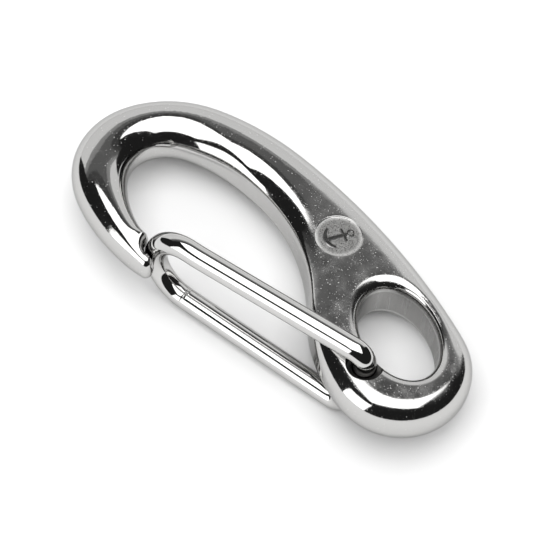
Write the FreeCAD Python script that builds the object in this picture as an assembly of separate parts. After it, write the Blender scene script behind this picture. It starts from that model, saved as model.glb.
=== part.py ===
"""Wire-gate snap hook for boat rigging: a polished cast body and one bent spring-wire gate.

Frame, in millimetres: the origin is the middle of the eye, halfway through the thickness.
+X runs along the load line from the bow of the hook towards the eye end, +Y towards the spine,
so the gate lies on the -Y side, and +Z is the thickness direction.
"""
import FreeCAD, Part
import math
import os

Vec = FreeCAD.Vector

# Body: a flat casting with rounded edges
thickness = 9.2
half_thickness = thickness / 2
outline_tolerance = 0.001

# Outer outline, a chain of tangent arcs. Each one ends where its outward normal points at "until".
bow_center = (-50.5, 1.7)
bow_radius = 14.5
arm_radius = 34.0
arm_until = 239.7
shoulder_radius = 20.5
shoulder_from = 152.5
top_radius = 46.5
top_from = 104.2
spine_radius = 119.0
spine_from = 83.8
eye_end_radius = 12.0
eye_end_from = 62.4

# Opening's outline, tangent arcs again, seen from inside the opening
inner_bow_center = (-48.1, 1.6)
inner_bow_radius = 6.9
inner_arm_radius = 18.8
inner_arm_until = 213.0
inner_spine_radius = 32.0
inner_spine_from = 106.8
lobe_radius = 30.0

# Eye: an oval hole whose long axis leans down towards the gate side
eye_half_length = 9.0
eye_half_width = 6.05
eye_lean = -32.0

# Gate: one spring wire, a half-round loop at the nose and two legs that lie on the body's faces
wire_radius = 1.9
leg_gap = 0.1
leg_height = half_thickness + leg_gap + wire_radius
loop_end = (-40.8, -10.95)
loop_center_x = loop_end[0] + leg_height
upper_pivot = (-0.45, -8.9)
lower_pivot = (-1.95, -10.8)
elbow_radius = 2.3
set_radius = 40.0
stub_end_height = 1.0
gate_opening = 25.0
gate_axis = upper_pivot

# Seats for the gate in the body
notch_gap = 0.1
pocket_radius = 2.95
pocket_depth = 1.2
stub_gap = 0.05
hole_depth_past_stub = 0.3
nose_tip_x = -40.3
nose_corner_radius = 1.2

# The nose thins towards its tip: both faces curve in from this point, in this direction
taper_start = (-57.0, -4.0)
taper_heading = -30.0
taper_radius = 95.0
taper_reach = 26.0
taper_width = 30.0
taper_near_side = 6.5

# Edge rounding. Edges nearer the middle plane than the band belong to neither face.
middle_band = 1.0
outer_edge = 4.4
inner_edge = 2.6
nose_edge = 1.1
eye_edge = 1.2

# Round mark on the web: a shallow disc with a plain raised anchor, measured from the disc's centre
mark_center = (-18.4, 8.55)
mark_radius = 4.0
mark_depth = 0.15
anchor_line = 0.55
shank_top = 1.7
stock_length = 2.2
stock_bottom = 0.85
ring_height = 2.15
ring_radius = 0.65
ring_hole_radius = 0.28
arms_height = -0.2
arms_radius = 2.35
arms_hollow_height = 0.15
arms_hollow_radius = 2.05
arms_top = -1.2


def polar(center, radius, degrees):
    """The point at that angle on a circle."""
    angle = math.radians(degrees)
    return (center[0] + radius * math.cos(angle), center[1] + radius * math.sin(angle))


def direction(start, end):
    """The direction from one point to another, in degrees."""
    return math.degrees(math.atan2(end[1] - start[1], end[0] - start[0]))


def circles_meet(a, a_radius, b, b_radius):
    """The crossing of two circles that lies to the left of the line from a to b."""
    dx, dy = b[0] - a[0], b[1] - a[1]
    distance = math.hypot(dx, dy)
    along = (a_radius ** 2 - b_radius ** 2 + distance ** 2) / (2 * distance)
    across = math.sqrt(a_radius ** 2 - along ** 2)
    ux, uy = dx / distance, dy / distance
    return (a[0] + along * ux - across * uy, a[1] + along * uy + across * ux)


def arc(center, radius, start, end):
    """An edge along a circle from one angle to another, either way round."""
    points = [polar(center, radius, a) for a in (start, (start + end) / 2, end)]
    return Part.Arc(*(Vec(x, y, 0) for x, y in points)).toShape()


def line(start, end):
    return Part.LineSegment(Vec(*start, 0), Vec(*end, 0)).toShape()


def next_center(center, radius, new_radius, angle):
    """The centre of the arc that carries on, with no kink, from an arc at that normal angle."""
    return polar(center, radius - new_radius, angle)


def body_outline():
    """The outline's edges, anticlockwise, each with its rounding at its start and end."""
    shoulder = next_center(bow_center, bow_radius, shoulder_radius, shoulder_from)
    top = next_center(shoulder, shoulder_radius, top_radius, top_from)
    spine = next_center(top, top_radius, spine_radius, spine_from)
    eye_end = next_center(spine, spine_radius, eye_end_radius, eye_end_from)
    arm = next_center(bow_center, bow_radius, arm_radius, arm_until)
    inner_arm = next_center(inner_bow_center, inner_bow_radius, inner_arm_radius, inner_arm_until)
    inner_spine = next_center(inner_bow_center, inner_bow_radius, inner_spine_radius, inner_spine_from)
    lobe = circles_meet(inner_spine, inner_spine_radius + lobe_radius, eye_end, lobe_radius - eye_end_radius)

    notch_radius = wire_radius + notch_gap
    notch_floor = loop_end[1] - notch_radius
    rise = notch_floor - arm[1]
    reach = nose_tip_x - arm[0]
    tip_radius = (arm_radius ** 2 - reach ** 2 - rise ** 2) / (2 * (arm_radius - rise))
    tip = (nose_tip_x, notch_floor - tip_radius)
    tip_from = 360 + direction(arm, tip)

    notch_to_corner = notch_radius + nose_corner_radius
    arm_to_corner = inner_arm_radius + nose_corner_radius
    corner = circles_meet(loop_end, notch_to_corner, inner_arm, arm_to_corner)
    corner_from = direction(corner, loop_end)
    corner_until = direction(corner, inner_arm)
    lobe_from = direction(inner_spine, lobe)
    lobe_until = 360 + direction(lobe, eye_end)

    return [
        (arc(eye_end, eye_end_radius, lobe_until - 360, eye_end_from), outer_edge, outer_edge),
        (arc(spine, spine_radius, eye_end_from, spine_from), outer_edge, outer_edge),
        (arc(top, top_radius, spine_from, top_from), outer_edge, outer_edge),
        (arc(shoulder, shoulder_radius, top_from, shoulder_from), outer_edge, outer_edge),
        (arc(bow_center, bow_radius, shoulder_from, arm_until), outer_edge, outer_edge),
        (arc(arm, arm_radius, arm_until, tip_from), outer_edge, nose_edge),
        (arc(tip, tip_radius, tip_from, 450), nose_edge, nose_edge),
        (line((nose_tip_x, notch_floor), (loop_end[0], notch_floor)), nose_edge, nose_edge),
        (arc(loop_end, notch_radius, 270, corner_from + 180), nose_edge, nose_edge),
        (arc(corner, nose_corner_radius, corner_from, corner_until), nose_edge, nose_edge),
        (arc(inner_arm, inner_arm_radius, corner_until + 180, inner_arm_until), nose_edge, inner_edge),
        (arc(inner_bow_center, inner_bow_radius, inner_arm_until, inner_spine_from), inner_edge, inner_edge),
        (arc(inner_spine, inner_spine_radius, inner_spine_from, lobe_from), inner_edge, inner_edge),
        (arc(lobe, lobe_radius, lobe_from + 180, lobe_until), inner_edge, outer_edge),
    ]


def pivot_travel(pivot):
    """How far a stub's middle moves, as a vector, while the gate swings from shut to fully open."""
    arm = Vec(pivot[0] - gate_axis[0], pivot[1] - gate_axis[1], 0)
    turned = FreeCAD.Rotation(Vec(0, 0, 1), -gate_opening).multVec(arm)
    return turned - arm


def upright(center, radius, low, high):
    """A round bar along Z between two heights."""
    return Part.makeCylinder(radius, high - low, Vec(center[0], center[1], low))


def rounded_slab():
    """The body's outline at full thickness, with every edge rounded by its own amount."""
    outline = body_outline()
    face = Part.Face(Part.Wire([edge for edge, _, _ in outline]))
    slab = face.extrude(Vec(0, 0, thickness))
    slab.translate(Vec(0, 0, -half_thickness))
    slab = slab.cut([nose_taper(1), nose_taper(-1)])
    document = FreeCAD.newDocument()
    base = document.addObject("Part::Feature", "slab")
    base.Shape = slab
    rounded = document.addObject("Part::Fillet", "rounded_slab")
    rounded.Base = base
    rounded.Edges = [
        rounding
        for edge, at_start, at_end in outline
        for side in (-1, 1)
        for rounding in edge_rounding(slab, edge, side, at_start, at_end)
    ]
    document.recompute()
    return rounded.Shape


def nose_taper(side):
    """What the upper or lower face of the nose loses: all that lies outside a wide cylinder."""
    far_side = taper_near_side - taper_width
    block = Part.makeBox(taper_reach, taper_width, half_thickness, Vec(0, far_side, middle_band))
    barrel_start = Vec(0, far_side, half_thickness - taper_radius)
    barrel = Part.makeCylinder(taper_radius, taper_width, barrel_start, Vec(0, 1, 0))
    tool = block.cut(barrel)
    tool.rotate(Vec(0, 0, 0), Vec(0, 0, 1), taper_heading)
    tool.translate(Vec(*taper_start, 0))
    return tool if side > 0 else tool.mirror(Vec(0, 0, 0), Vec(0, 0, 1))


def edge_rounding(solid, edge, side, at_start, at_end):
    """The numbers and radii of the solid's edges that run above or below an outline edge."""
    roundings = []
    for number, candidate in enumerate(solid.Edges, 1):
        start, end = candidate.FirstParameter, candidate.LastParameter
        points = [candidate.valueAt(u) for u in (start, (start + end) / 2, end)]
        shares = [share_along(edge, point) for point in points]
        if None in shares or min(side * point.z for point in points) < middle_band:
            continue
        radii = [at_start + (at_end - at_start) * share for share in (shares[0], shares[-1])]
        roundings.append((number, *radii))
    return roundings


def share_along(edge, point):
    """How far along an outline edge a point lies, 0 to 1, seen from above, or None if off it."""
    distance, pairs, _ = edge.distToShape(Part.Vertex(point.x, point.y, 0))
    if distance > outline_tolerance:
        return None
    start, end = edge.FirstParameter, edge.LastParameter
    return (edge.Curve.parameter(pairs[0][0]) - start) / (end - start)


def eye_cutter():
    """The oval eye with its rounded mouth on both faces."""
    oval = Part.Ellipse(Vec(0, 0, 0), eye_half_length, eye_half_width).toShape()
    core = Part.Face(Part.Wire([oval])).extrude(Vec(0, 0, thickness))
    core.translate(Vec(0, 0, -half_thickness))
    core.rotate(Vec(0, 0, 0), Vec(0, 0, 1), eye_lean)
    return core


def round_eye_mouths(body):
    """Rounds the eye's two rims, the only ellipses that lie in a face."""
    ellipses = [edge for edge in body.Edges if isinstance(edge.Curve, Part.Ellipse)]
    rims = [rim for rim in ellipses if abs(rim.CenterOfMass.z) > half_thickness - outline_tolerance]
    return body.makeFillet(eye_edge, rims)


def gate_seat(pivot, side):
    """The pocket for the wire's elbow and the blind hole for its stub, on the upper or lower face."""
    travel = pivot_travel(pivot)
    center = (pivot[0] + travel.x / 2, pivot[1] + travel.y / 2)
    hole_radius = wire_radius + travel.Length / 2 + stub_gap
    hole_end = stub_end_height - hole_depth_past_stub
    pocket = upright(center, pocket_radius, half_thickness - pocket_depth, half_thickness + 1)
    hole = upright(center, hole_radius, hole_end, half_thickness)
    seat = pocket.fuse(hole)
    return seat if side > 0 else seat.mirror(Vec(0, 0, 0), Vec(0, 0, 1))


def anchor():
    """A plain anchor standing on the mark's floor: shank, stock, ring and a crescent for its arms."""
    low = half_thickness - mark_depth
    top = half_thickness + mark_depth
    height = top - low
    shank_bottom = arms_hollow_height - arms_hollow_radius - mark_depth
    shank_start = Vec(-anchor_line / 2, shank_bottom, low)
    shank = Part.makeBox(anchor_line, shank_top - shank_bottom, height, shank_start)
    stock = Part.makeBox(stock_length, anchor_line, height, Vec(-stock_length / 2, stock_bottom, low))
    ring = upright((0, ring_height), ring_radius, low, top)
    ring = ring.cut(upright((0, ring_height), ring_hole_radius, low, top))
    arms = upright((0, arms_height), arms_radius, low, top)
    arms = arms.cut(upright((0, arms_hollow_height), arms_hollow_radius, low, top))
    above = Part.makeBox(2 * arms_radius, 2 * arms_radius, height, Vec(-arms_radius, arms_top, low))
    return shank.fuse([stock, ring, arms.cut(above)])


def mark():
    """The shallow round mark, as the metal that it takes away."""
    floor = half_thickness - mark_depth
    disc = upright((0, 0), mark_radius, floor, half_thickness + mark_depth).cut(anchor())
    disc.rotate(Vec(0, 0, 0), Vec(0, 0, 1), eye_lean)
    disc.translate(Vec(*mark_center, 0))
    return disc


def hook_body():
    body = rounded_slab().cut(eye_cutter())
    body = round_eye_mouths(body)
    body = body.cut([gate_seat(upper_pivot, 1), gate_seat(lower_pivot, -1), mark()])
    return body.Solids[0]


def leg_path(pivot, side):
    """Edges from the loop through a slight set, along one leg, round its elbow and down its stub."""
    height = side * leg_height
    set_center = (loop_center_x, loop_end[1] + set_radius)
    pull = math.hypot(pivot[0] - set_center[0], pivot[1] - set_center[1])
    sweep = direction(set_center, pivot) - math.degrees(math.acos(set_radius / pull))
    set_bend = arc(set_center, set_radius, -90, sweep)
    set_bend.translate(Vec(0, 0, height))
    set_end = Vec(*polar(set_center, set_radius, sweep), height)
    run = Vec(pivot[0], pivot[1], height) - set_end
    along = Vec(run).normalize()
    down = Vec(0, 0, -side)
    bend_start = set_end + along * (run.Length - elbow_radius)
    bend_center = bend_start + down * elbow_radius
    bend_middle = bend_center + (along - down) * (elbow_radius / math.sqrt(2))
    bend_end = bend_center + along * elbow_radius
    stub_end = Vec(pivot[0], pivot[1], side * stub_end_height)
    return [
        set_bend,
        Part.LineSegment(set_end, bend_start).toShape(),
        Part.Arc(bend_start, bend_middle, bend_end).toShape(),
        Part.LineSegment(bend_end, stub_end).toShape(),
    ]


def wire_gate():
    """The gate: stub, elbow, leg, loop round the nose, leg, elbow and stub, all one wire."""
    top_of_loop = Vec(loop_center_x, loop_end[1], leg_height)
    loop_middle = Vec(loop_end[0], loop_end[1], 0)
    bottom_of_loop = Vec(loop_center_x, loop_end[1], -leg_height)
    loop = Part.Arc(top_of_loop, loop_middle, bottom_of_loop).toShape()
    upper = leg_path(upper_pivot, 1)
    lower = leg_path(lower_pivot, -1)
    route = Part.Wire(upper[::-1] + [loop] + lower)
    stub_end = Vec(upper_pivot[0], upper_pivot[1], stub_end_height)
    section = Part.Wire([Part.Circle(stub_end, Vec(0, 0, 1), wire_radius).toShape()])
    return route.makePipeShell([section], True, False)


os.makedirs("parts", exist_ok=True)
for name, shape in (("hook_body", hook_body()), ("wire_gate", wire_gate())):
    print(name, shape.ShapeType, shape.isValid(), len(shape.Solids), shape.Volume, shape.BoundBox)
    shape.exportStep(f"parts/{name}.step")
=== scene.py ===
"""Looks of the wire-gate snap hook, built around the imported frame. Blender works in metres.

The shapes are worked out in millimetres, in the part's own frame, and scaled when a mesh is made:
the origin is the middle of the eye, +X runs to the eye end, +Y to the spine and +Z through the thickness.
"""
import math

import bpy
import numpy as np
from mathutils import Matrix, Vector, geometry

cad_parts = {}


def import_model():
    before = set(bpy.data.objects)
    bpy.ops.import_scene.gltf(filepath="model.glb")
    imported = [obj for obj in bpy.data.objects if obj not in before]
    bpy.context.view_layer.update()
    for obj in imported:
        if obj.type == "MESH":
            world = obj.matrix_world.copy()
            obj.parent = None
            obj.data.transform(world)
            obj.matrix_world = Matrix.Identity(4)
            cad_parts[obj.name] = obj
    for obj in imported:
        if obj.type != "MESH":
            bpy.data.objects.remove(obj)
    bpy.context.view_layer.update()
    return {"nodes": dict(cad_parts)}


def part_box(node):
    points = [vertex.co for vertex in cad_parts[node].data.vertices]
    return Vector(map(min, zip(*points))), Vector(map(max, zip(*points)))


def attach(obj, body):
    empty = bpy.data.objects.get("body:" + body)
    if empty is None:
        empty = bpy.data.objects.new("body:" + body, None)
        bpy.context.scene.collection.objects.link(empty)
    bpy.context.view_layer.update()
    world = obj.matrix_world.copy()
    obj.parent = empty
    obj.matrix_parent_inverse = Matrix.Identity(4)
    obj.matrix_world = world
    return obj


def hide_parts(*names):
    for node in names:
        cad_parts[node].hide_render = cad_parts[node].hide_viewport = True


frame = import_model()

MM = 0.001

# The body's dimensions in millimetres, as in the CAD model
HALF_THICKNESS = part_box("hook_body")[1].z / MM
BOW_CENTER, BOW_RADIUS = (-50.5, 1.7), 14.5
ARM_RADIUS, ARM_UNTIL = 34.0, 239.7
SHOULDER_RADIUS, SHOULDER_FROM = 20.5, 152.5
TOP_RADIUS, TOP_FROM = 46.5, 104.2
SPINE_RADIUS, SPINE_FROM = 119.0, 83.8
EYE_END_RADIUS, EYE_END_FROM = 12.0, 62.4
INNER_BOW_CENTER, INNER_BOW_RADIUS = (-48.1, 1.6), 6.9
INNER_ARM_RADIUS, INNER_ARM_UNTIL = 18.8, 213.0
INNER_SPINE_RADIUS, INNER_SPINE_FROM = 32.0, 106.8
LOBE_RADIUS = 30.0
EYE_HALF_LENGTH, EYE_HALF_WIDTH, EYE_LEAN = 9.0, 6.05, math.radians(-32.0)
NOTCH_RADIUS, NOSE_TIP_X, NOSE_CORNER_RADIUS = 2.0, -40.3, 1.2
TAPER_START, TAPER_HEADING = (-57.0, -4.0), math.radians(-30.0)
TAPER_RADIUS, TAPER_NEAR_SIDE = 95.0, 6.5
MARK_CENTER, MARK_RADIUS, MARK_DEPTH = (-18.4, 8.55), 4.0, 0.15

# The gate's dimensions, as in the CAD model
WIRE_RADIUS = 1.9
LEG_HEIGHT = HALF_THICKNESS + 0.1 + WIRE_RADIUS
LOOP_END = (-40.8, -10.95)
UPPER_PIVOT, LOWER_PIVOT = (-0.45, -8.9), (-1.95, -10.8)
ELBOW_RADIUS, SET_RADIUS, STUB_END_HEIGHT = 2.3, 40.0, 1.0
POCKET_RADIUS, POCKET_DEPTH, HOLE_END_HEIGHT, STUB_GAP = 2.95, 1.2, 0.7, 0.05
GATE_OPENING = math.radians(25.0)

# Edge shape. Along each arc: how far along it, the rounding's width in plan, the share of the half
# thickness that the rounding takes, and the share that a wide, shallow crown takes before it. The bow and
# the nose arm are a round bar. Beside the web the opening's edge is crisp, and the face slopes down to it.
EYE_RIM = (2.1, 0.46, 0.0)
CROWN_WIDTH, CROWN_POWER = 4.0, 1.9
EYE_END_EDGE = ((0, 4.4, 0.95, 0), (0.25, 3.3, 0.93, 0), (0.8, 3.4, 0.93, 0), (1, 4.6, 0.95, 0))
SPINE_EDGE = ((0, 4.6, 0.95, 0), (1, 5.4, 0.96, 0))
TOP_EDGE = ((0, 5.4, 0.96, 0), (1, 5.2, 0.96, 0))
BAR_EDGE = ((0, 5.2, 0.96, 0), (1, 5.2, 0.96, 0))
TIP_EDGE = ((0, 1.25, 0.94, 0), (1, 1.15, 0.9, 0))
NOTCH_EDGE = ((0, 1.15, 0.9, 0), (1, 1.05, 0.7, 0))
CORNER_EDGE = ((0, 1.05, 0.7, 0), (1, 1.5, 0.85, 0))
INNER_ARM_EDGE = ((0, 1.5, 0.85, 0), (0.12, 2.8, 0.93, 0), (0.3, 5.2, 0.95, 0), (1, 5.2, 0.96, 0))
INNER_SPINE_EDGE = (
    (0, 5.0, 0.96, 0), (0.08, 4.7, 0.92, 0.02), (0.2, 2.4, 0.46, 0.34), (0.3, 0.8, 0.16, 0.48),
    (0.6, 0.6, 0.12, 0.5), (0.8, 0.6, 0.12, 0.32), (1, 0.7, 0.14, 0.14),
)
LOBE_EDGE = ((0, 0.7, 0.14, 0.14), (0.3, 1.9, 0.42, 0.08), (0.65, 3.8, 0.85, 0), (1, 4.4, 0.95, 0))

# How far the edge of each cut in the face spreads, in millimetres to each side
POCKET_EDGE, HOLE_EDGE, MARK_EDGE = 0.22, 0.08, 0.1

# The outline's outer arcs come first. These of its arcs, by number, bound the round bar.
OUTER_ARCS, BAR_ARCS = 8, (4, 5, 6, 10, 11)

# Steps along the outline, and the radius below which an arc is one of the nose's small ones
SMALL_ARC = 5.0
SMALL_STEP, EYE_END_STEP, LONG_STEP = 0.1, 0.16, 0.3

# Smoothing along the outline: its least and greatest length for the line and for the edge's shape, and how
# fast that length grows away from the nose
LINE_SMOOTHING, SHAPE_SMOOTHING, SMOOTHING_GROWTH = (0.12, 1.6), (0.2, 2.2), 0.22

# The rings of an edge. The band is its steep part, up to this turn of the rounding.
BAND_END = math.radians(52.0)
BAND_RINGS, WALL_RINGS, CAP_RINGS = 9, 4, 6

# Points round the eye and round each cut, and the circles of them across the edge of each cut: the first
# and last one's place, as a share of how far that edge spreads, and how many there are
EYE_POINTS, POCKET_POINTS, HOLE_POINTS, MARK_POINTS = 330, 150, 130, 160
POCKET_CIRCLES, HOLE_CIRCLES, MARK_CIRCLES = (-1, 1.6, 9), (-1.5, 1.5, 5), (-1.3, 1.3, 6)

# Circles of points on a cut's floor: the first radius, the gap left at the edge, the step, and how many
# points there are in each
HOLE_FLOOR, MARK_FLOOR = (0.3, 0.2, 0.5, 24), (0.4, 0.3, 0.45, 40)

# The grid between them. A ring's point stays if no other edge is nearer than this share of its inset, and a
# grid point stays beyond that share of the rounding's width. Then the least gaps to each other and to a ring.
GRID_STEP, RING_SHARE, GRID_SHARE = 0.6, 0.97, 0.9
LEAST_GAP, RING_GAP, MERGE_GAP = 0.12, 0.07, 1e-7

# Where the outer edge and the opening's edge join: a place within this many points of both ends belongs to
# both of them, and one past an edge's end is not lowered by it
JOIN_POINTS, PAST_END = 3, 1e-6

# How many places are measured at once, which saves memory
CHUNK = 1500

# The casting's materials by number; the seats' insides and the eye's wall take darker materials that paint
# shade. Beside a seat, faces that stand more upright than this are a wall.
FROSTED, SHADED_RECESS, SHADED_BORE = 1, 2, 3
UPRIGHT = 0.02

# Steps along each part of the wire, sides round it, how far its bends are softened, and its rounded ends
SET_STEPS, LEG_STEPS, ELBOW_STEPS, STUB_STEPS, LOOP_STEPS = 16, 60, 24, 12, 72
WIRE_SIDES, BEND_SOFTNESS, END_EDGE, END_RINGS = 48, 0.45, 0.3, 5

# The anchor's sloped edge, how deep its foot goes, how far below the face it ends, and how much each of its
# overlapping parts stands above the one before
ANCHOR_EDGE, ANCHOR_ROOT, ANCHOR_SUNK, ANCHOR_LIFT = 0.17, 0.02, 0.01, 0.004
ANCHOR_SHARP = math.radians(35)


def polar(center, radius, degrees):
    angle = math.radians(degrees)
    return (center[0] + radius * math.cos(angle), center[1] + radius * math.sin(angle))


def direction(start, end):
    return math.degrees(math.atan2(end[1] - start[1], end[0] - start[0]))


def circles_meet(a, a_radius, b, b_radius):
    """The crossing of two circles that lies to the left of the line from a to b."""
    dx, dy = b[0] - a[0], b[1] - a[1]
    distance = math.hypot(dx, dy)
    along = (a_radius ** 2 - b_radius ** 2 + distance ** 2) / (2 * distance)
    across = math.sqrt(a_radius ** 2 - along ** 2)
    ux, uy = dx / distance, dy / distance
    return (a[0] + along * ux - across * uy, a[1] + along * uy + across * ux)


def next_center(center, radius, new_radius, angle):
    """The centre of the arc that carries on, with no kink, from an arc at that normal angle."""
    return polar(center, radius - new_radius, angle)


def outline_arcs():
    """The body's outline, anticlockwise: centre, radius, first and last angle, and the edge's shape."""
    shoulder = next_center(BOW_CENTER, BOW_RADIUS, SHOULDER_RADIUS, SHOULDER_FROM)
    top = next_center(shoulder, SHOULDER_RADIUS, TOP_RADIUS, TOP_FROM)
    spine = next_center(top, TOP_RADIUS, SPINE_RADIUS, SPINE_FROM)
    eye_end = next_center(spine, SPINE_RADIUS, EYE_END_RADIUS, EYE_END_FROM)
    arm = next_center(BOW_CENTER, BOW_RADIUS, ARM_RADIUS, ARM_UNTIL)
    inner_arm = next_center(INNER_BOW_CENTER, INNER_BOW_RADIUS, INNER_ARM_RADIUS, INNER_ARM_UNTIL)
    inner_spine = next_center(INNER_BOW_CENTER, INNER_BOW_RADIUS, INNER_SPINE_RADIUS, INNER_SPINE_FROM)
    lobe = circles_meet(inner_spine, INNER_SPINE_RADIUS + LOBE_RADIUS, eye_end, LOBE_RADIUS - EYE_END_RADIUS)
    notch_floor = LOOP_END[1] - NOTCH_RADIUS
    rise, reach = notch_floor - arm[1], NOSE_TIP_X - arm[0]
    tip_radius = (ARM_RADIUS ** 2 - reach ** 2 - rise ** 2) / (2 * (ARM_RADIUS - rise))
    tip = (NOSE_TIP_X, notch_floor - tip_radius)
    tip_from = 360 + direction(arm, tip)
    notch_to_corner = NOTCH_RADIUS + NOSE_CORNER_RADIUS
    arm_to_corner = INNER_ARM_RADIUS + NOSE_CORNER_RADIUS
    corner = circles_meet(LOOP_END, notch_to_corner, inner_arm, arm_to_corner)
    corner_from, corner_until = direction(corner, LOOP_END), direction(corner, inner_arm)
    lobe_from, lobe_until = direction(inner_spine, lobe), 360 + direction(lobe, eye_end)
    return [
        (lobe, LOBE_RADIUS, lobe_from + 180, lobe_until, LOBE_EDGE),
        (eye_end, EYE_END_RADIUS, lobe_until - 360, EYE_END_FROM, EYE_END_EDGE),
        (spine, SPINE_RADIUS, EYE_END_FROM, SPINE_FROM, SPINE_EDGE),
        (top, TOP_RADIUS, SPINE_FROM, TOP_FROM, TOP_EDGE),
        (shoulder, SHOULDER_RADIUS, TOP_FROM, SHOULDER_FROM, BAR_EDGE),
        (BOW_CENTER, BOW_RADIUS, SHOULDER_FROM, ARM_UNTIL, BAR_EDGE),
        (arm, ARM_RADIUS, ARM_UNTIL, tip_from, BAR_EDGE),
        (tip, tip_radius, tip_from, 450, TIP_EDGE),
        (LOOP_END, NOTCH_RADIUS, 270, corner_from + 180, NOTCH_EDGE),
        (corner, NOSE_CORNER_RADIUS, corner_from, corner_until, CORNER_EDGE),
        (inner_arm, INNER_ARM_RADIUS, corner_until + 180, INNER_ARM_UNTIL, INNER_ARM_EDGE),
        (INNER_BOW_CENTER, INNER_BOW_RADIUS, INNER_ARM_UNTIL, INNER_SPINE_FROM, BAR_EDGE),
        (inner_spine, INNER_SPINE_RADIUS, INNER_SPINE_FROM, lobe_from, INNER_SPINE_EDGE),
    ]


def sample_outline():
    """Points along the outline, with the edge's shape at each and which of them are on the small nose arcs.
    Also the number of points on the outer side, from the lobe round to the nose's tip. Along the bar the
    rounding is no wider than half the metal, so that the two sides meet in a round section."""
    points, rounding, small, bar, outer_count = [], [], [], [], 0
    for number, (center, radius, start, end, keys) in enumerate(outline_arcs()):
        step = EYE_END_STEP if radius in (EYE_END_RADIUS, LOBE_RADIUS) else LONG_STEP
        step = SMALL_STEP if radius < SMALL_ARC else step
        count = max(4, round(radius * abs(math.radians(end - start)) / step))
        places, *shape = zip(*keys)
        for k in range(count):
            along = k / count
            points.append(polar(center, radius, start + (end - start) * along))
            rounding.append([np.interp(along, places, values) for values in shape])
            small.append(radius < SMALL_ARC)
            bar.append(number in BAR_ARCS)
        if number < OUTER_ARCS:
            outer_count = len(points)
    points, rounding = np.array(points), np.array(rounding)
    outer, inner = points[:outer_count], points[outer_count:]
    half_width = np.concatenate([nearest(outer, inner, False)[0], nearest(inner, outer, False)[0]]) / 2
    rounding[:, 0] = np.where(bar, np.minimum(rounding[:, 0], half_width), rounding[:, 0])
    return points, rounding, np.array(small), outer_count


def smooth_outline(points, rounding, small):
    """Evens out the jumps in curvature where arcs meet, over a short length at the nose, more elsewhere."""
    steps = np.linalg.norm(np.roll(points, -1, 0) - points, axis=1)
    place = np.concatenate([[0], np.cumsum(steps)[:-1]])
    gap = np.abs(place[:, None] - place[None, :])
    gap = np.minimum(gap, steps.sum() - gap)
    from_nose = gap[:, small].min(axis=1)

    def averaged(values, least, most):
        width = np.clip(least + SMOOTHING_GROWTH * from_nose, least, most)
        kernel = np.exp(-((gap / width[:, None]) ** 2) / 2) * (steps + np.roll(steps, 1))
        return kernel / kernel.sum(axis=1, keepdims=True) @ values

    return averaged(points, *LINE_SMOOTHING), averaged(rounding, *SHAPE_SMOOTHING)


def left_normals(points):
    """Unit normals of a closed line, to the left of its direction of travel."""
    along = np.roll(points, -1, 0) - np.roll(points, 1, 0)
    along /= np.linalg.norm(along, axis=1, keepdims=True)
    return np.stack([-along[:, 1], along[:, 0]], axis=1)


def nearest(places, line, closed=True):
    """The distance from each place to a line, and where on the line that is, counted in points."""
    start = line if closed else line[:-1]
    edge = (np.roll(line, -1, 0) - line)[: len(start)]
    squared = (edge ** 2).sum(axis=1)
    distances, wheres = [], []
    for chunk in np.array_split(places, max(1, len(places) // CHUNK)):
        away = chunk[:, None, :] - start[None, :, :]
        share = np.clip((away * edge).sum(axis=2) / squared, 0, 1)
        gap = np.linalg.norm(away - share[:, :, None] * edge, axis=2)
        best = gap.argmin(axis=1)
        rows = np.arange(len(chunk))
        distances.append(gap[rows, best])
        wheres.append(best + share[rows, best])
    return np.concatenate(distances), np.concatenate(wheres)


def inside(places, line):
    """Which places lie inside a closed line."""
    result = np.zeros(len(places), bool)
    following = np.roll(line, -1, 0)
    for (ax, ay), (bx, by) in zip(line, following):
        if ay == by:
            continue
        crosses = (places[:, 1] < ay) != (places[:, 1] < by)
        result ^= crosses & (places[:, 0] < ax + (places[:, 1] - ay) * (bx - ax) / (by - ay))
    return result


def rounding_drop(distance, width, share, crown):
    """How far an edge's rounding and crown lower the face, as a share of the half thickness."""
    closeness = np.clip(1 - distance / width, 0, 1)
    slope = np.clip(1 - distance / CROWN_WIDTH, 0, 1) ** CROWN_POWER
    return share * (1 - np.sqrt(1 - closeness ** 2)) + crown * slope


def thinning(places):
    """What is left of the thickness: both faces curve in towards the nose's tip."""
    x, y = places[:, 0] - TAPER_START[0], places[:, 1] - TAPER_START[1]
    ahead = np.maximum(x * math.cos(TAPER_HEADING) + y * math.sin(TAPER_HEADING), 0)
    aside = y * math.cos(TAPER_HEADING) - x * math.sin(TAPER_HEADING)
    ahead = np.where(aside < TAPER_NEAR_SIDE, ahead, 0)
    sunk = TAPER_RADIUS - np.sqrt(TAPER_RADIUS ** 2 - ahead ** 2)
    return 1 - sunk / HALF_THICKNESS


def ease(value):
    value = np.clip(value, 0, 1)
    return value * value * (3 - 2 * value)


def from_center(places, center):
    return np.hypot(places[:, 0] - center[0], places[:, 1] - center[1])


def gate_seats():
    """Each side's pocket: its centre and the radius of the hole in it, wide enough for the gate's swing."""
    seats = {}
    for side, pivot in ((1, UPPER_PIVOT), (-1, LOWER_PIVOT)):
        arm = np.array(pivot) - UPPER_PIVOT
        cos, sin = math.cos(-GATE_OPENING), math.sin(-GATE_OPENING)
        travel = np.array([arm[0] * cos - arm[1] * sin, arm[0] * sin + arm[1] * cos]) - arm
        seats[side] = (np.array(pivot) + travel / 2, WIRE_RADIUS + np.linalg.norm(travel) / 2 + STUB_GAP)
    return seats


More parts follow.
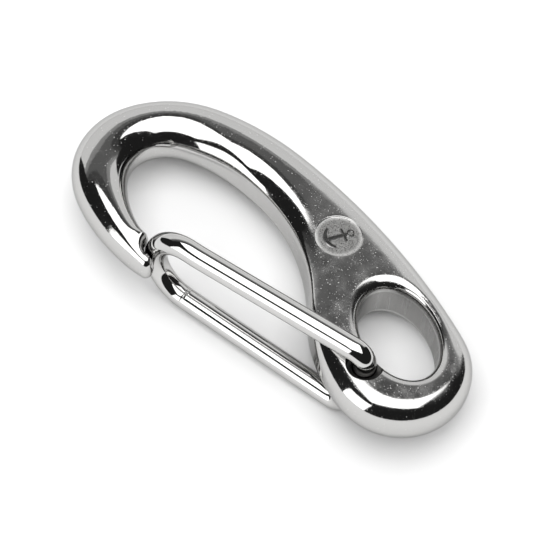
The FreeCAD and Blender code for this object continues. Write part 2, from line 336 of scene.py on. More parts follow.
def cut_height(places, side):
    """The highest that the face may be, because of the gate's pocket and hole and the round mark."""
    center, hole_radius = SEATS[side]
    away = from_center(places, center)
    pocket = HALF_THICKNESS - POCKET_DEPTH * ease((POCKET_RADIUS + POCKET_EDGE - away) / (2 * POCKET_EDGE))
    hole_depth = HALF_THICKNESS - POCKET_DEPTH - HOLE_END_HEIGHT
    height = pocket - hole_depth * ease((hole_radius + HOLE_EDGE - away) / (2 * HOLE_EDGE))
    height = np.where(away > POCKET_RADIUS + POCKET_EDGE, np.inf, height)
    if side > 0:
        away = from_center(places, MARK_CENTER)
        floor = HALF_THICKNESS - MARK_DEPTH * ease((MARK_RADIUS + MARK_EDGE - away) / (2 * MARK_EDGE))
        height = np.where(away < MARK_RADIUS + MARK_EDGE, floor, height)
    return height


def band(line, rounding):
    """The rings of an edge's flank, from the upper face round the wall to the lower face."""
    normals = left_normals(line)
    width, share, crown = rounding[:, :1], rounding[:, 1:2], rounding[:, 2:]
    upper = []
    for inset in 1 - np.cos(np.linspace(BAND_END, 0, BAND_RINGS)):
        upper.append((inset, 1 - rounding_drop(width * inset, width, share, crown)))
    wall = [(0.0, (1 - share - crown) * level) for level in np.linspace(1, -1, WALL_RINGS + 2)[1:-1]]
    rings = upper + wall + [(inset, -level) for inset, level in reversed(upper)]
    layers = []
    for inset, level in rings:
        places = line + normals * width * inset
        heights = level[:, 0] * HALF_THICKNESS * thinning(places)
        side = 1 if level[0, 0] > 0 else -1
        heights = side * np.minimum(side * heights, cut_height(places, side))
        layers.append(np.column_stack([places, heights]))
    return np.array(layers)


def circle_points(center, radii, count):
    turns = np.linspace(0, 2 * math.pi, count, endpoint=False)
    around = np.column_stack([np.cos(turns), np.sin(turns)])
    return np.concatenate([np.array(center) + around * radius for radius in radii])


def floor_points(center, radius, first, gap, step, count):
    return circle_points(center, np.arange(first, radius - gap, step), count)


def cut_points(side):
    """Circles of points round the pocket, its hole and the mark, and how far other points keep away."""
    center, hole_radius = SEATS[side]
    pocket_radii = POCKET_RADIUS + POCKET_EDGE * np.linspace(*POCKET_CIRCLES)
    hole_radii = hole_radius + HOLE_EDGE * np.linspace(*HOLE_CIRCLES)
    kept = [
        circle_points(center, pocket_radii, POCKET_POINTS),
        circle_points(center, hole_radii, HOLE_POINTS),
        floor_points(center, hole_radius, *HOLE_FLOOR),
    ]
    clear = [(center, POCKET_RADIUS + 2 * POCKET_EDGE)]
    if side > 0:
        mark_radii = MARK_RADIUS + MARK_EDGE * np.linspace(*MARK_CIRCLES)
        kept.append(circle_points(MARK_CENTER, mark_radii, MARK_POINTS))
        kept.append(floor_points(MARK_CENTER, MARK_RADIUS, *MARK_FLOOR))
        clear.append((MARK_CENTER, MARK_RADIUS + 3 * MARK_EDGE))
    return kept, clear


def face_points(side, line, rounding, outline_ring, eye_line, eye_ring):
    """Where a face's points go: rings that follow its edges, circles round its cuts and a grid between."""
    width = rounding[:, :1]
    normals, eye_normals = left_normals(line), left_normals(eye_line)
    kept, clear = cut_points(side)
    rest = []
    for inset in 1 - np.cos(np.linspace(BAND_END, math.pi / 2, CAP_RINGS + 1)[1:]):
        ring = line + normals * width * inset
        gap, _ = nearest(ring, line)
        rest.append(ring[gap > RING_SHARE * inset * width[:, 0]])
        rest.append((eye_line + eye_normals * EYE_RIM[0] * inset)[::2])
    low, high = line.min(axis=0), line.max(axis=0)
    xs, ys = np.arange(low[0], high[0], GRID_STEP), np.arange(low[1], high[1], GRID_STEP)
    grid = np.array([(x + GRID_STEP / 2 * (j % 2), y) for j, y in enumerate(ys) for x in xs])
    gap, where = nearest(grid, line)
    eye_gap, _ = nearest(grid, eye_line)
    widths = np.interp(where, np.arange(len(line) + 1), np.append(width[:, 0], width[0, 0]))
    rest.append(grid[(gap > GRID_SHARE * widths) & (eye_gap > EYE_RIM[0] + GRID_STEP / 2)])
    rest = np.concatenate(rest)
    for around, radius in clear:
        rest = rest[from_center(rest, around) > radius]
    _, first = np.unique(np.round(rest / LEAST_GAP).astype(int), axis=0, return_index=True)
    points = np.concatenate(kept + [rest[np.sort(first)]])
    points = points[inside(points, outline_ring) & ~inside(points, eye_ring)]
    ring_gap = np.minimum(nearest(points, outline_ring)[0], nearest(points, eye_ring)[0])
    return points[ring_gap > RING_GAP]


def face_heights(places, side, line, rounding, outer_count, eye_line):
    """A face's heights. The eye's rim, the outer edge and the opening's edge each lower it on their own.
    Where the last two join, at the lobe and at the nose's tip, only the larger of them counts."""
    level = 1 - rounding_drop(nearest(places, eye_line)[0], *EYE_RIM)
    loop, loop_rounding = np.vstack([line, line[:1]]), np.vstack([rounding, rounding[:1]])
    drops, near_ends = [], []
    for first, last in ((0, outer_count), (outer_count, len(line))):
        chain, chain_rounding = loop[first:last + 1], loop_rounding[first:last + 1]
        gap, where = nearest(places, chain, closed=False)
        shape = [np.interp(where, np.arange(len(chain)), values) for values in chain_rounding.T]
        from_end = np.minimum(where, len(chain) - 1 - where)
        near_ends.append(from_end < JOIN_POINTS)
        drops.append(np.where(from_end < PAST_END, 0, rounding_drop(gap, *shape)))
    level -= np.where(near_ends[0] & near_ends[1], np.maximum(*drops), drops[0] + drops[1])
    heights = np.minimum(level * HALF_THICKNESS * thinning(places), cut_height(places, side))
    return side * heights


def ring_faces(first, ring_count, count, flip=False):
    """Quads between rings of points that are numbered one ring after the other."""
    faces = []
    for k in range(ring_count - 1):
        for i in range(count):
            a, d = first + k * count + i, first + k * count + (i + 1) % count
            b, c = a + count, d + count
            faces.append((a, b, c, d) if not flip else (d, c, b, a))
    return faces


def make_mesh(name, vertices, faces, materials):
    mesh = bpy.data.meshes.new(name)
    mesh.from_pydata((np.asarray(vertices) * MM).tolist(), [], faces)
    mesh.validate()
    for material in materials:
        mesh.materials.append(material)
    mesh.shade_smooth()
    piece = bpy.data.objects.new(name, mesh)
    bpy.context.scene.collection.objects.link(piece)
    return piece


def eye_outline():
    """Points round the eye, clockwise, so that the metal is on the left."""
    turns = -np.linspace(0, 2 * math.pi, EYE_POINTS, endpoint=False)
    flat = np.column_stack([EYE_HALF_LENGTH * np.cos(turns), EYE_HALF_WIDTH * np.sin(turns)])
    cos, sin = math.cos(EYE_LEAN), math.sin(EYE_LEAN)
    return flat @ np.array([[cos, sin], [-sin, cos]])


def face_triangles(outline_ring, eye_ring, points):
    """Triangles between the outline's ring, the eye's ring and the points, numbered in that order."""
    flat = np.concatenate([outline_ring, eye_ring, points])
    loops = [(0, len(outline_ring)), (len(outline_ring), len(eye_ring))]
    edges = [(first + i, first + (i + 1) % count) for first, count in loops for i in range(count)]
    found = geometry.delaunay_2d_cdt([Vector(p) for p in flat], edges, [], 0, MERGE_GAP)
    sources = [origin[0] for origin in found[3]]
    triangles = np.array([[sources[v] for v in face] for face in found[2]])
    middles = flat[triangles].mean(axis=1)
    return triangles[inside(middles, outline_ring) & ~inside(middles, eye_ring)]


def finish_casting(piece, wall_first, wall_count):
    """Gives the mark's floor its frosted finish, and paints shade on the insides of the gate's seats and on
    the eye's wall with darker materials.
    """
    for polygon in piece.data.polygons[wall_first:wall_first + wall_count]:
        # Painted shade: the eye's wall takes the darker material
        polygon.material_index = SHADED_BORE
    for polygon in piece.data.polygons:
        x, y, z = polygon.center / MM
        if z > 0 and math.hypot(x - MARK_CENTER[0], y - MARK_CENTER[1]) < MARK_RADIUS - MARK_EDGE:
            polygon.material_index = FROSTED
        (seat_x, seat_y), _ = SEATS[1 if z > 0 else -1]
        in_seat = math.hypot(x - seat_x, y - seat_y) < POCKET_RADIUS + POCKET_EDGE / 2
        below_face = HOLE_END_HEIGHT / 2 < abs(z) < HALF_THICKNESS - POCKET_EDGE
        # Painted shade: a seat's inside takes the near-black material
        if in_seat and below_face and abs(polygon.normal.z) > UPRIGHT:
            polygon.material_index = SHADED_RECESS


def hook_casting(materials):
    """The cast body: flanks that follow the outline and the eye, and a fitted face on each side."""
    points, rounding, small, outer_count = sample_outline()
    line, rounding = smooth_outline(points, rounding, small)
    eye_line = eye_outline()
    outline_rings, eye_rings = band(line, rounding), band(eye_line, np.tile(EYE_RIM, (EYE_POINTS, 1)))
    ring_count, line_count = len(outline_rings), len(line)
    vertices = [outline_rings.reshape(-1, 3), eye_rings.reshape(-1, 3)]
    eye_first = len(vertices[0])
    faces = ring_faces(0, ring_count, line_count) + ring_faces(eye_first, ring_count, EYE_POINTS)
    total = eye_first + len(vertices[1])
    for side, ring in ((1, 0), (-1, ring_count - 1)):
        outline_ring, eye_ring = outline_rings[ring][:, :2], eye_rings[ring][:, :2]
        points = face_points(side, line, rounding, outline_ring, eye_line, eye_ring)
        heights = face_heights(points, side, line, rounding, outer_count, eye_line)
        numbers = np.concatenate([
            ring * line_count + np.arange(line_count),
            eye_first + ring * EYE_POINTS + np.arange(EYE_POINTS),
            total + np.arange(len(points)),
        ])
        for triangle in face_triangles(outline_ring, eye_ring, points):
            faces.append(tuple(numbers[triangle][::side].tolist()))
        vertices.append(np.column_stack([points, heights]))
        total += len(points)
    piece = make_mesh("hook_casting", np.concatenate(vertices), faces, materials)
    wall_first = (ring_count - 1) * line_count + (BAND_RINGS - 1) * EYE_POINTS
    finish_casting(piece, wall_first, (WALL_RINGS + 1) * EYE_POINTS)
    return piece


def wire_route():
    """The gate wire's middle line: stub, elbow, leg, loop, leg, elbow and stub, in short steps."""
    def leg(pivot, side):
        height = side * LEG_HEIGHT
        center = (LOOP_END[0] + LEG_HEIGHT, LOOP_END[1] + SET_RADIUS)
        pull = math.hypot(pivot[0] - center[0], pivot[1] - center[1])
        sweep = direction(center, pivot) - math.degrees(math.acos(SET_RADIUS / pull))
        points = [(*polar(center, SET_RADIUS, a), height) for a in np.linspace(-90, sweep, SET_STEPS)]
        set_end = np.array(points[-1])
        run = np.array([*pivot, height]) - set_end
        length = np.linalg.norm(run)
        ahead, down = run / length, np.array([0, 0, -side])
        bend_start = set_end + ahead * (length - ELBOW_RADIUS)
        points += [tuple(set_end + (bend_start - set_end) * s) for s in np.linspace(0, 1, LEG_STEPS)[1:]]
        for turn in np.linspace(0, math.pi / 2, ELBOW_STEPS)[1:]:
            along, fall = ELBOW_RADIUS * math.sin(turn), ELBOW_RADIUS * (1 - math.cos(turn))
            points.append(tuple(bend_start + ahead * along + down * fall))
        last = np.array(points[-1])
        bottom = np.array([*pivot, side * STUB_END_HEIGHT])
        return points + [tuple(last + (bottom - last) * s) for s in np.linspace(0, 1, STUB_STEPS)[1:]]

    loop_x = LOOP_END[0] + LEG_HEIGHT
    loop = [
        (loop_x - LEG_HEIGHT * math.cos(t), LOOP_END[1], LEG_HEIGHT * math.sin(t))
        for t in np.linspace(math.pi / 2, -math.pi / 2, LOOP_STEPS)
    ]
    return np.array(leg(UPPER_PIVOT, 1)[::-1] + loop[1:-1] + leg(LOWER_PIVOT, -1))


def smooth_route(route, width):
    """Softens the change of curvature where bends meet straights. The two ends stay where they are."""
    steps = np.linalg.norm(np.diff(route, axis=0), axis=1)
    place = np.concatenate([[0], np.cumsum(steps)])
    from_end = np.minimum(place, place[-1] - place)
    local = np.clip(from_end / 3, 1e-3, width)
    share = np.concatenate([[steps[0]], steps]) + np.concatenate([steps, [steps[-1]]])
    kernel = np.exp(-(((place[:, None] - place) / local[:, None]) ** 2) / 2) * share
    return kernel / kernel.sum(axis=1, keepdims=True) @ route


def gate_wire(material):
    """The gate: one round wire with slightly rounded ends."""
    route = smooth_route(wire_route(), BEND_SOFTNESS)
    ahead = np.gradient(route, axis=0)
    ahead /= np.linalg.norm(ahead, axis=1, keepdims=True)
    count = WIRE_SIDES
    turns = np.linspace(0, 2 * math.pi, count, endpoint=False)
    end_steps = [
        (WIRE_RADIUS - END_EDGE * (1 - math.sin(t)), END_EDGE * (1 - math.cos(t)))
        for t in np.linspace(0, math.pi / 2, END_RINGS)
    ]
    across = np.array([1.0, 0, 0])
    rings, lengths, place = [], [], 0.0
    for k, (point, along) in enumerate(zip(route, ahead)):
        across = across - along * across.dot(along)
        across /= np.linalg.norm(across)
        around = np.outer(np.cos(turns), across) + np.outer(np.sin(turns), np.cross(along, across))
        place += np.linalg.norm(point - route[max(k - 1, 0)])
        from_end = min(np.linalg.norm(point - route[0]), np.linalg.norm(point - route[-1]))
        if k in (0, len(route) - 1):
            inward = along if k == 0 else -along
            new = [point + around * radius + inward * depth for radius, depth in end_steps]
            new = new if k == 0 else new[::-1]
        elif from_end < 1.5 * END_EDGE:
            continue
        else:
            new = [point + around * WIRE_RADIUS]
        rings += new
        lengths += [place] * len(new)
    vertices = list(np.concatenate(rings))
    faces = ring_faces(0, len(rings), count, flip=True)
    ends = ((route[0], 0), (route[-1], (len(rings) - 1) * count))
    for number, (middle, first) in enumerate(ends):
        vertices.append(middle)
        for i in range(count):
            a, b = first + i, first + (i + 1) % count
            faces.append((len(vertices) - 1, b, a) if number == 0 else (len(vertices) - 1, a, b))
    piece = make_mesh("gate_wire", vertices, faces, [material])
    layer = piece.data.uv_layers.new(name="along_wire")
    for polygon in piece.data.polygons:
        columns = [v % count for v in polygon.vertices]
        wraps = max(columns) - min(columns) > count / 2
        for loop, vertex, column in zip(polygon.loop_indices, polygon.vertices, columns):
            ring = min(vertex // count, len(lengths) - 1)
            column += count if wraps and column < count / 2 else 0
            layer.data[loop].uv = (lengths[ring], column / count)
    return piece


def anchor_outline():
    """A plain anchor's parts as flat closed shapes, in millimetres from the mark's centre."""
    half_line = 0.42
    shank = [(-half_line, -2.2), (half_line, -2.2), (half_line, 1.6), (-half_line, 1.6)]
    stock = [(-1.3, 0.6), (1.3, 0.6), (1.3, 1.25), (-1.3, 1.25)]
    ring = [polar((0, 2.1), 0.82, a) for a in range(0, 360, 12)]
    hole = [polar((0, 2.1), 0.3, a) for a in range(0, 360, 12)]
    low = [polar((0, -0.1), 2.6, a) for a in range(203, 338, 5)]
    high = [polar((0, 0.45), 2.2, a) for a in range(320, 219, -5)]
    return [(shank, None), (stock, None), (ring, hole), (low + high, None)]


def mark_anchor(materials):
    """The anchor stands on the frosted floor of the mark and ends level with the face."""
    low, high = HALF_THICKNESS - MARK_DEPTH - ANCHOR_ROOT, HALF_THICKNESS - ANCHOR_SUNK
    vertices, faces, bevel_faces = [], [], []
    cos, sin = math.cos(EYE_LEAN), math.sin(EYE_LEAN)

    def place(points, height):
        first = len(vertices)
        for x, y in points:
            vertices.append((MARK_CENTER[0] + x * cos - y * sin, MARK_CENTER[1] + x * sin + y * cos, height))
        return list(range(first, first + len(points)))

    def inset(points, distance):
        return (np.array(points) + left_normals(np.array(points)) * distance).tolist()

    for number, (outer, hole) in enumerate(anchor_outline()):
        lift = ANCHOR_LIFT * number
        loops = [outer] + ([hole[::-1]] if hole else [])
        tops = []
        for loop in loops:
            rings = [
                place(loop, low),
                place(loop, high - ANCHOR_EDGE + lift),
                place(inset(loop, ANCHOR_EDGE), high + lift),
            ]
            tops.append(rings[-1])
            for below, above in zip(rings, rings[1:]):
                count = len(below)
                for i in range(count):
                    j = (i + 1) % count
                    bevel_faces.append((below[i], below[j], above[j], above[i]))
        if hole:
            count = len(tops[0])
            back = tops[1][::-1]
            for i in range(count):
                j = (i + 1) % count
                faces.append((tops[0][i], tops[0][j], back[j], back[i]))
        else:
            flat = [Vector((vertices[v][0], vertices[v][1])) for v in tops[0]]
            count = len(flat)
            edges = [(i, (i + 1) % count) for i in range(count)]
            found = geometry.delaunay_2d_cdt(flat, edges, [], 1, MERGE_GAP)
            faces += [tuple(tops[0][found[3][v][0]] for v in face) for face in found[2]]
    piece = make_mesh("mark_anchor", vertices, bevel_faces + faces, materials)
    for polygon in piece.data.polygons[:len(bevel_faces)]:
        polygon.material_index = 1
    piece.data.set_sharp_from_angle(angle=ANCHOR_SHARP)
    return piece


# Steel colours, the last a paler one that paints a glint on the pores, and how much the reflection at a
# glancing angle is held back
STEEL, PALE_STEEL, PORE_GLINT_STEEL = (0.54, 0.537, 0.529), (0.62, 0.616, 0.607), (0.75, 0.745, 0.735)
EDGE_TINT = (0.6, 0.6, 0.6, 1)

# A texture scale that counts in millimetres, and where along the part the softer polish of the web fades in
PER_METRE = (1000, 1000, 1000)
WEB_FADE = (-32.0, -18.0)


class Nodes:
    """A short way to wire a material's nodes."""

    def __init__(self, name, color, roughness):
        self.material = bpy.data.materials.new(name)
        self.material.use_nodes = True
        self.tree = self.material.node_tree
        self.shader = self.tree.nodes["Principled BSDF"]
        self.shader.inputs["Base Color"].default_value = (*color, 1)
        self.shader.inputs["Metallic"].default_value = 1.0
        self.shader.inputs["Roughness"].default_value = roughness
        self.shader.inputs["Specular Tint"].default_value = EDGE_TINT
        self.place = self.tree.nodes.new("ShaderNodeTexCoord")

    def link(self, source, target):
        self.tree.links.new(source, target)

    def scaled(self, source, scale):
        node = self.tree.nodes.new("ShaderNodeMapping")
        node.inputs["Scale"].default_value = scale
        self.link(source, node.inputs["Vector"])
        return node.outputs["Vector"]

    def millimetres(self):
        return self.scaled(self.place.outputs["Object"], PER_METRE)

    def noise(self, vector, scale, detail=2.0):
        node = self.tree.nodes.new("ShaderNodeTexNoise")
        node.inputs["Scale"].default_value = scale
        node.inputs["Detail"].default_value = detail
        self.link(vector, node.inputs["Vector"])
        return node.outputs["Fac"]

    def cells(self, vector, scale):
        node = self.tree.nodes.new("ShaderNodeTexVoronoi")
        node.inputs["Scale"].default_value = scale
        self.link(vector, node.inputs["Vector"])
        return node

    def axis(self, vector, name):
        node = self.tree.nodes.new("ShaderNodeSeparateXYZ")
        self.link(vector, node.inputs[0])
        return node.outputs[name]

    def distance(self, vector, center):
        node = self.tree.nodes.new("ShaderNodeVectorMath")
        node.operation = "DISTANCE"
        self.link(vector, node.inputs[0])
        node.inputs[1].default_value = center
        return node.outputs["Value"]

    def spread(self, value, low, high, to_low, to_high):
        node = self.tree.nodes.new("ShaderNodeMapRange")
        for name, number in (("From Min", low), ("From Max", high), ("To Min", to_low), ("To Max", to_high)):
            node.inputs[name].default_value = number
        self.link(value, node.inputs["Value"])
        return node.outputs["Result"]

    def math(self, operation, a, b):
        node = self.tree.nodes.new("ShaderNodeMath")
        node.operation = operation
        for socket, value in zip(node.inputs, (a, b)):
            if isinstance(value, (int, float)):
                socket.default_value = value
            else:
                self.link(value, socket)
        return node.outputs[0]

    def mix(self, factor, a, b):
        node = self.tree.nodes.new("ShaderNodeMix")
        node.data_type = "RGBA"
        node.inputs["A"].default_value = (*a, 1)
        node.inputs["B"].default_value = (*b, 1)
        self.link(factor, node.inputs["Factor"])
        return node.outputs["Result"]

    def bump(self, height, depth, before=None):
        """Height 1 stands for that depth in millimetres."""
        node = self.tree.nodes.new("ShaderNodeBump")
        node.inputs["Strength"].default_value = 1.0
        node.inputs["Distance"].default_value = depth * MM
        self.link(height, node.inputs["Height"])
        if before is not None:
            self.link(before, node.inputs["Normal"])
        return node.outputs["Normal"]


def cast_steel():
    """Polished casting: slightly wavy and bright. The flat face of the web and the eye end is softer.
    Fine pores and hairlines are spread over all of it. The pores are real dull dents, and their paler colour
    is a painted glint."""
    n = Nodes("polished_cast_steel", STEEL, 0.09)
    here = n.millimetres()
    cloud = n.noise(here, 0.3, 4.0)
    grain = n.noise(here, 3.2, 4.0)
    height = n.math("ABSOLUTE", n.axis(here, "Z"), 0)
    flat = n.spread(height, 0.8 * HALF_THICKNESS, 0.97 * HALF_THICKNESS, 0.0, 1.0)
    web = n.math("MULTIPLY", flat, n.spread(n.axis(here, "X"), *WEB_FADE, 0.0, 1.0))
    dots = n.cells(here, 1.7)
    pore_and_glint = n.spread(dots.outputs["Distance"], 0.1, 0.17, 1.0, 0.0)
    pore_and_glint = n.math("MULTIPLY", pore_and_glint, n.spread(dots.outputs["Color"], 0.4, 0.5, 0.0, 1.0))
    pore_and_glint = n.math("MULTIPLY", pore_and_glint, n.spread(n.noise(here, 0.5, 3.0), 0.4, 0.6, 0.3, 1.0))
    small_dots = n.cells(here, 2.6)
    small = n.spread(small_dots.outputs["Distance"], 0.1, 0.2, 0.7, 0.0)
    small = n.math("MULTIPLY", small, n.spread(small_dots.outputs["Color"], 0.45, 0.55, 0.0, 1.0))
    pore_and_glint = n.math("MAXIMUM", pore_and_glint, n.math("MULTIPLY", small, n.spread(web, 0.0, 1.0, 0.6, 1.0)))
    scratch = n.noise(n.scaled(n.place.outputs["Object"], (500, 5200, 900)), 1.0, 1.0)
    hair = n.spread(scratch, 0.64, 0.72, 0.0, 1.0)
    rough = n.math("ADD", n.spread(cloud, 0.35, 0.7, 0.05, 0.09), n.math("MULTIPLY", web, 0.11))
    rough = n.math("ADD", rough, n.math("MULTIPLY", pore_and_glint, 0.42))
    rough = n.math("ADD", rough, n.math("MULTIPLY", hair, 0.05))
    rough = n.math("ADD", rough, n.spread(grain, 0.5, 0.75, 0.0, 0.06))
    rough = n.math("ADD", rough, n.math("MULTIPLY", web, n.spread(cloud, 0.4, 0.62, -0.03, 0.05)))
    n.link(rough, n.shader.inputs["Roughness"])
    # Painted glint: the pores take a paler colour than the polish
    n.link(n.mix(pore_and_glint, STEEL, PORE_GLINT_STEEL), n.shader.inputs["Base Color"])
    normal = n.bump(n.noise(here, 0.17, 2.0), 0.05)
    normal = n.bump(grain, 0.0016, normal)
    normal = n.bump(pore_and_glint, -0.006, normal)
    n.link(normal, n.shader.inputs["Normal"])
    return n.material


def grained_steel(name, color, roughness, grain, rough, colors, depth, stretch=PER_METRE):
    """Metal whose roughness, colour and relief all follow one grain, given by its scale and detail."""
    n = Nodes(name, color, roughness)
    noise = n.noise(n.scaled(n.place.outputs["Object"], stretch), *grain)
    n.link(n.spread(noise, *rough), n.shader.inputs["Roughness"])
    n.link(n.mix(noise, *colors), n.shader.inputs["Base Color"])
    n.link(n.bump(noise, depth), n.shader.inputs["Normal"])
    return n.material


def anchor_steel():
    """The anchor's top: polished, and darkened by wear against the pale edge round it."""
    colors = ((0.2, 0.198, 0.194), (0.32, 0.317, 0.31))
    rough = (0.35, 0.7, 0.1, 0.22)
    return grained_steel("anchor_steel", (0.24, 0.238, 0.233), 0.14, (4.0, 4.0), rough, colors, 0.006)


def bore_painted_shade_steel():
    """The wall inside the eye: rougher, with upright tool marks, and darker in colour than the polish, which
    paints the shade of the floor that it reflects.
    """
    # Painted shade: darker colours for the shadowed floor that the wall reflects
    colors = ((0.26, 0.258, 0.253), (0.46, 0.456, 0.448))
    rough, stretch = (0.3, 0.7, 0.15, 0.32), (900, 900, 60)
    return grained_steel("bore_painted_shade_steel", (0.36, 0.357, 0.35), 0.24, (1.0, 3.0), rough, colors, 0.012, stretch)


def frosted_steel():
    """The floor of the mark: blasted, so it is matt and a little darker than the polish."""
    n = Nodes("frosted_steel", (0.4, 0.398, 0.39), 0.36)
    here = n.millimetres()
    grain = n.noise(here, 5.0, 4.0)
    n.link(n.spread(grain, 0.3, 0.7, 0.22, 0.45), n.shader.inputs["Roughness"])
    from_mark = n.distance(here, (*MARK_CENTER, HALF_THICKNESS))
    rim = n.spread(from_mark, 0.78 * MARK_RADIUS, 0.92 * MARK_RADIUS, 0.0, 1.0)
    pale = n.math("MAXIMUM", n.spread(grain, 0.35, 0.75, 0.0, 0.6), rim)
    n.link(n.mix(pale, (0.27, 0.268, 0.262), (0.68, 0.675, 0.665)), n.shader.inputs["Base Color"])
    n.link(n.bump(grain, 0.03), n.shader.inputs["Normal"])
    return n.material


def pale_frosted_steel():
    """The anchor's sloped edge: blasted, and paler than the floor round it."""
    colors = ((0.42, 0.417, 0.41), (0.75, 0.745, 0.735))
    rough = (0.3, 0.7, 0.25, 0.45)
    return grained_steel("pale_frosted_steel", (0.6, 0.596, 0.587), 0.34, (6.0, 3.0), rough, colors, 0.02)


def recess_painted_shade_steel():
    """Inside the gate's seats: dark and dull, a painted shade for the shadow in the pockets."""
    # Painted shade: near-black colours for the shadow inside the pockets
    colors = ((0.06, 0.059, 0.057), (0.14, 0.138, 0.133))
    rough = (0.3, 0.7, 0.4, 0.6)
    return grained_steel("recess_painted_shade_steel", (0.1, 0.098, 0.095), 0.5, (4.0, 3.0), rough, colors, 0.03)


def wire_steel():
    """Drawn spring wire, polished: faint lines along it and a few dull spots."""
    n = Nodes("polished_wire_steel", STEEL, 0.05)
    along = n.scaled(n.place.outputs["UV"], (0.05, 90, 1))
    lines = n.noise(along, 1.0, 2.0)
    here = n.millimetres()
    cloud = n.noise(here, 0.5, 3.0)
    n.link(n.spread(cloud, 0.3, 0.75, 0.03, 0.08), n.shader.inputs["Roughness"])
    n.link(n.mix(cloud, STEEL, PALE_STEEL), n.shader.inputs["Base Color"])
    n.link(n.bump(lines, 0.0006, n.bump(cloud, 0.006)), n.shader.inputs["Normal"])
    return n.material


# The camera's view: where the camera stands round the part, its distance and what it looks at
VIEW_AZIMUTH, VIEW_ELEVATION, VIEW_ROLL = math.radians(30.26), math.radians(54.45), math.radians(8.27)
VIEW_CENTER, VIEW_DISTANCE, VIEW_LENS = Vector((-23.32, -1.66, 0)) * MM, 426.5 * MM, 170.58
SENSOR_WIDTH, CLIP_START, CLIP_END = 36.0, 0.01, 20

# The hook lies on the spine and the gate's lower leg, so the floor tilts against the part's frame
FLOOR_NORMAL = Vector((-0.0059, -0.1304, 0.9914)).normalized()
FLOOR_RADIUS, FLOOR_RINGS, FLOOR_SIDES, FLOOR_COLOR = 1.6, 12, 96, (0.8, 0.8, 0.8, 1)

# The studio's brightness: what the metal reflects, what the camera sees behind the floor, and what share of
# that lights the floor
STUDIO_DARK, STUDIO_PALE, FLOOR_FILL = 0.02, 1.0, 0.5

# The lights: azimuth and elevation in degrees, distance, width and height in metres, and radiance
SOFTBOXES = {
    "overhead": (0, 90, 1.0, (1.2, 1.16), 2.6),
    "left_front": (-60, 20, 1.2, (0.75, 0.84), 2.4),
    "backdrop": (180, 14.5, 1.3, (3.0, 1.06), 0.95),
    "backdrop_top": (180, 40, 1.3, (3.0, 0.14), 0.35),
    "backdrop_fade": (180, 46.5, 1.3, (3.0, 0.16), 0.14),
    "backdrop_edge": (180, 53.5, 1.3, (3.0, 0.16), 0.05),
}


def camera():
    """Adds the camera and gives the direction from the hook to it."""
    back = Vector((
        math.sin(VIEW_AZIMUTH) * math.cos(VIEW_ELEVATION),
        -math.cos(VIEW_AZIMUTH) * math.cos(VIEW_ELEVATION),
        math.sin(VIEW_ELEVATION),
    ))
    level = Vector((math.cos(VIEW_AZIMUTH), math.sin(VIEW_AZIMUTH), 0))
    upright = back.cross(level)
    right = level * math.cos(VIEW_ROLL) + upright * math.sin(VIEW_ROLL)
    up = back.cross(right)
    data = bpy.data.cameras.new("camera")
    data.lens, data.sensor_width = VIEW_LENS, SENSOR_WIDTH
    data.clip_start, data.clip_end = CLIP_START, CLIP_END
    item = bpy.data.objects.new("camera", data)
    turn = Matrix((right, up, back)).transposed()
    item.matrix_world = Matrix.Translation(VIEW_CENTER + back * VIEW_DISTANCE) @ turn.to_4x4()
    bpy.context.scene.collection.objects.link(item)
    bpy.context.scene.camera = item
    return back


def floor(pieces):
    """A round white floor that touches the lowest point of the hook."""
    lowest = min(vertex.co.dot(FLOOR_NORMAL) for piece in pieces for vertex in piece.data.vertices)
    count = FLOOR_SIDES
    vertices = [(0, 0, 0)]
    for k in range(1, FLOOR_RINGS + 1):
        radius = FLOOR_RADIUS * (k / FLOOR_RINGS) ** 2
        for i in range(count):
            turn = 2 * math.pi * i / count
            vertices.append((radius * math.cos(turn), radius * math.sin(turn), 0))
    faces = [(0, 1 + i, 1 + (i + 1) % count) for i in range(count)]
    for k in range(FLOOR_RINGS - 1):
        for i in range(count):
            a, b = 1 + k * count + i, 1 + k * count + (i + 1) % count
            faces.append((a, a + count, b + count, b))
    mesh = bpy.data.meshes.new("floor")
    mesh.from_pydata(vertices, [], faces)
    material = bpy.data.materials.new("floor_paper")
    material.use_nodes = True
    shader = material.node_tree.nodes["Principled BSDF"]
    shader.inputs["Base Color"].default_value = FLOOR_COLOR
    shader.inputs["Roughness"].default_value = 1.0
    shader.inputs["Specular IOR Level"].default_value = 0.0
    mesh.materials.append(material)
    item = bpy.data.objects.new("floor", mesh)
    turn = FLOOR_NORMAL.to_track_quat("Z", "Y").to_matrix().to_4x4()
    item.matrix_world = Matrix.Translation(FLOOR_NORMAL * lowest) @ turn
    bpy.context.scene.collection.objects.link(item)


def softbox(name, azimuth, elevation, distance, size, radiance):
    """A rectangular light that faces the hook. Azimuth 0 is on the camera's side, and grows to its right."""
    toward = LIGHT_AXES[0] * math.sin(math.radians(azimuth)) + LIGHT_AXES[1] * math.cos(math.radians(azimuth))
    lift = math.radians(elevation)
    away = toward * math.cos(lift) + FLOOR_NORMAL * math.sin(lift)
    upright = FLOOR_NORMAL * math.cos(lift) - toward * math.sin(lift)
    side = upright.cross(away)
    data = bpy.data.lights.new(name, "AREA")
    data.shape = "RECTANGLE"
    data.size, data.size_y = size
    data.energy = radiance * math.pi * size[0] * size[1]
    item = bpy.data.objects.new(name, data)
    turn = Matrix((side, upright, away)).transposed().to_4x4()
    item.matrix_world = Matrix.Translation(VIEW_CENTER + away * distance) @ turn
    item.visible_camera = False
    bpy.context.scene.collection.objects.link(item)


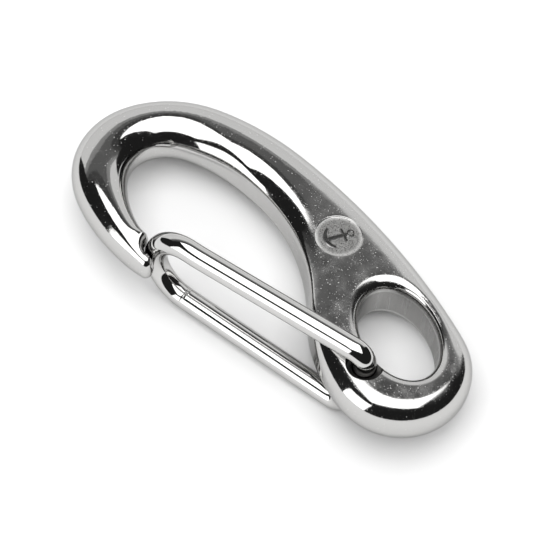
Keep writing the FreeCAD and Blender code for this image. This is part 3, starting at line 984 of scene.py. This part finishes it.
def world():
    """A dark studio to the metal, with a pale background behind the floor."""
    item = bpy.data.worlds.new("studio")
    bpy.context.scene.world = item
    item.use_nodes = True
    tree = item.node_tree
    dark = tree.nodes["Background"]
    dark.inputs["Color"].default_value = (1, 1, 1, 1)
    dark.inputs["Strength"].default_value = STUDIO_DARK
    pale = tree.nodes.new("ShaderNodeBackground")
    pale.inputs["Color"].default_value = (1, 1, 1, 1)
    pale.inputs["Strength"].default_value = STUDIO_PALE
    path = tree.nodes.new("ShaderNodeLightPath")
    mix = tree.nodes.new("ShaderNodeMixShader")
    seen = tree.nodes.new("ShaderNodeMath")
    seen.operation = "MAXIMUM"
    fill = tree.nodes.new("ShaderNodeMath")
    fill.operation = "MULTIPLY"
    fill.inputs[1].default_value = FLOOR_FILL
    tree.links.new(path.outputs["Is Diffuse Ray"], fill.inputs[0])
    tree.links.new(path.outputs["Is Camera Ray"], seen.inputs[0])
    tree.links.new(fill.outputs[0], seen.inputs[1])
    tree.links.new(seen.outputs[0], mix.inputs["Fac"])
    tree.links.new(dark.outputs[0], mix.inputs[1])
    tree.links.new(pale.outputs[0], mix.inputs[2])
    tree.links.new(mix.outputs[0], tree.nodes["World Output"].inputs["Surface"])


SEATS = gate_seats()
steel, frosted, wire = cast_steel(), frosted_steel(), wire_steel()
for node, material in (("hook_body", steel), ("wire_gate", wire)):
    frame["nodes"][node].data.materials.clear()
    frame["nodes"][node].data.materials.append(material)

casting = hook_casting([steel, frosted, recess_painted_shade_steel(), bore_painted_shade_steel()])
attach(casting, "hook")
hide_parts("hook_body")

anchor = mark_anchor([anchor_steel(), pale_frosted_steel()])
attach(anchor, "hook")

gate = gate_wire(wire)
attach(gate, "gate")
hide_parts("wire_gate")

# The lights' azimuths count from the camera's side, along the floor: to its right, and towards it
to_camera = camera()
along_floor = to_camera - FLOOR_NORMAL * to_camera.dot(FLOOR_NORMAL)
LIGHT_AXES = (along_floor.cross(-FLOOR_NORMAL).normalized(), along_floor.normalized())
floor([casting, gate])
for light, settings in SOFTBOXES.items():
    softbox(light, *settings)
world()
bpy.context.scene.view_settings.view_transform = "Standard"
